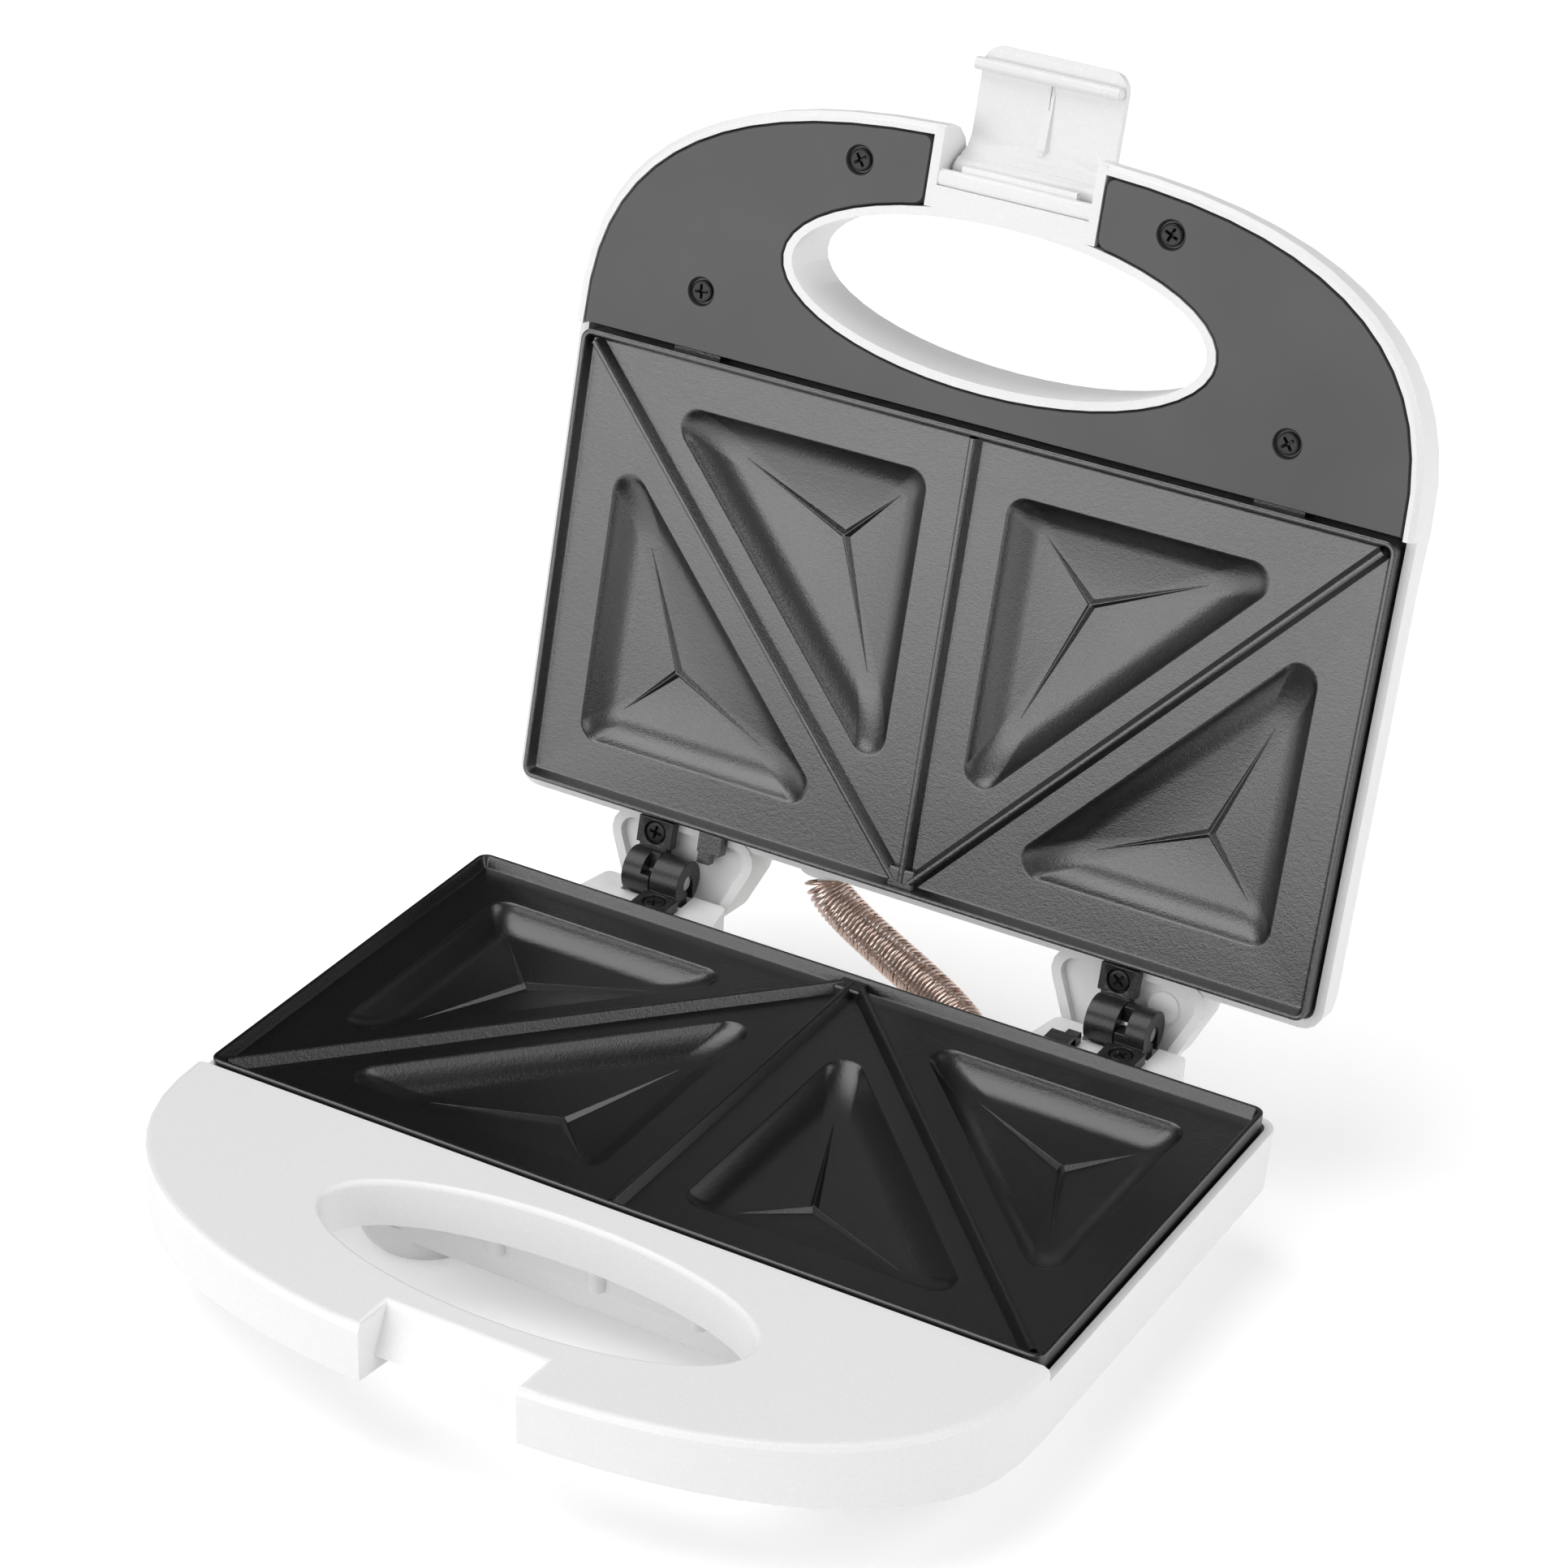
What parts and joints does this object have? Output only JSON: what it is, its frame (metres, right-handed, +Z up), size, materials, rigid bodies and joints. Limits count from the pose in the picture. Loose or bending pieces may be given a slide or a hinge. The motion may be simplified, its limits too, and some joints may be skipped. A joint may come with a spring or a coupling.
{
  "type": "sandwich toaster",
  "caption": "Hinged sandwich toaster, standing open: two ridged cooking plates with triangular pockets, looped handles, fold-over latch clip and coil-guarded lid wiring.",
  "frame": {"origin": "on the table under the middle of the open part's bounding box", "axes": "+Z up, +Y towards the hinges, handles towards -Y, +X to the right seen from the handles"},
  "size_m": [0.226, 0.2644, 0.2543],
  "materials": {
    "white_plastic": "smooth moulded satin gloss",
    "grey_plastic": "fine moulded satin",
    "foot_rubber": "matt",
    "black_coating": "black non-stick coating on cast aluminium",
    "grey_coating": "dark grey non-stick coating on cast aluminium, finely speckled",
    "plain_steel": "zinc plated",
    "tube_steel": "dark annealed tube",
    "tray_aluminium": "bright sheet",
    "ceramic": "ceramic body",
    "ivory_plastic": "moulded",
    "black_casting": "black coated die casting",
    "black_steel": "blackened",
    "guard_steel": "close wound bare wire with a warm tint",
    "sleeve": "woven glass sleeve",
    "red_lens": "clear tinted",
    "green_lens": "clear tinted",
    "lamp_glass": "neon lamps"
  },
  "bodies": {
    "base": {"base_shell": "white_plastic", "foot_pads": "foot_rubber", "lower_plate": "black_coating", "lower_plate_screws": "plain_steel", "lower_element": "tube_steel", "lower_reflector": "tray_aluminium", "lower_reflector_screws": "plain_steel", "thermostat": "ceramic", "terminal_block": "ivory_plastic", "cord_gland": "white_plastic", "base_hinge_left": "black_casting", "base_hinge_right": "black_casting", "base_hinge_screws": "black_steel", "hinge_pins": "plain_steel", "guard_spring": "guard_steel", "guard_sleeve": "sleeve"},
    "lid": {"lid_shell": "white_plastic", "handle_cover": "grey_plastic", "cover_screws": "black_steel", "upper_plate": "grey_coating", "upper_element": "tube_steel", "upper_reflector": "tray_aluminium", "upper_reflector_screws": "plain_steel", "thermal_fuse": "plain_steel", "lid_hinge_left": "black_casting", "lid_hinge_right": "black_casting", "lid_hinge_screws": "black_steel", "power_lens": "red_lens", "ready_lens": "green_lens", "indicator_lamps": "lamp_glass"},
    "latch": {"latch_clip": "white_plastic"}
  },
  "joints": [
    {"name": "lid_hinge", "type": "hinge", "parent": "base", "child": "lid", "pos_m": [0, 0.07046, 0.04], "axis": [1, 0, 0], "range_deg": [0, 102], "deforming": ["guard_spring", "guard_sleeve"]},
    {"name": "latch_pivot", "type": "hinge", "parent": "lid", "child": "latch", "pos_m": [0, 0.12024, 0.22612], "axis": [1, 0, 0], "range_deg": [0, 90]}
  ]
}
